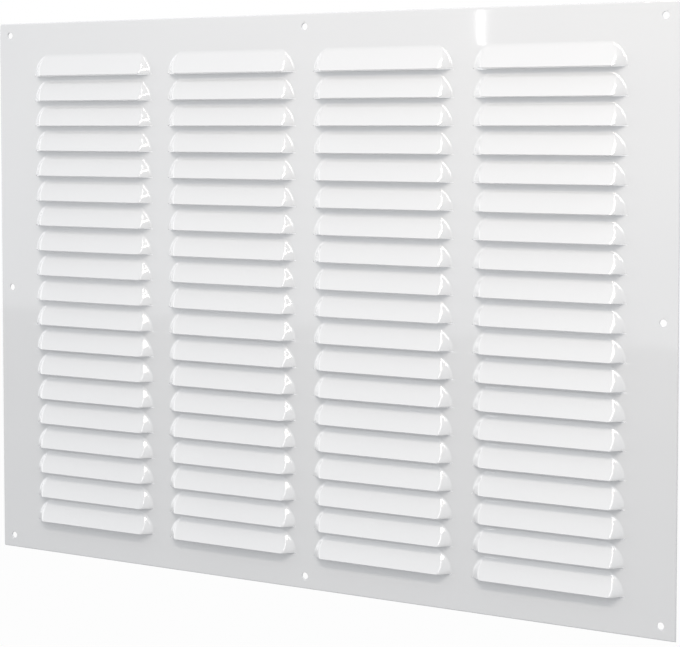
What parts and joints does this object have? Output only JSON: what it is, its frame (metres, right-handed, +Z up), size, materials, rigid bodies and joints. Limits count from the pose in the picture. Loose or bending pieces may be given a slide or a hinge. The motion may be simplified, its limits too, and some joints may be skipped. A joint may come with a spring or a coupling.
{
  "type": "louvred ventilation grille",
  "caption": "Flat rectangular wall grille pressed from one coated sheet, with columns of long outward louvres that open downward and small fixing holes round the edge.",
  "frame": {"origin": "middle of the back face, which lies against the wall", "axes": "+X along the width, to the right as seen from the front; +Z up; the louvred front faces -Y and the back face looks towards +Y"},
  "size_m": [0.4, 0.006, 0.3],
  "materials": {
    "coated_sheet": "smooth glossy white coating on thin sheet metal"
  },
  "bodies": {
    "root": {"louvre_panel": "coated_sheet"}
  },
  "joints": []
}
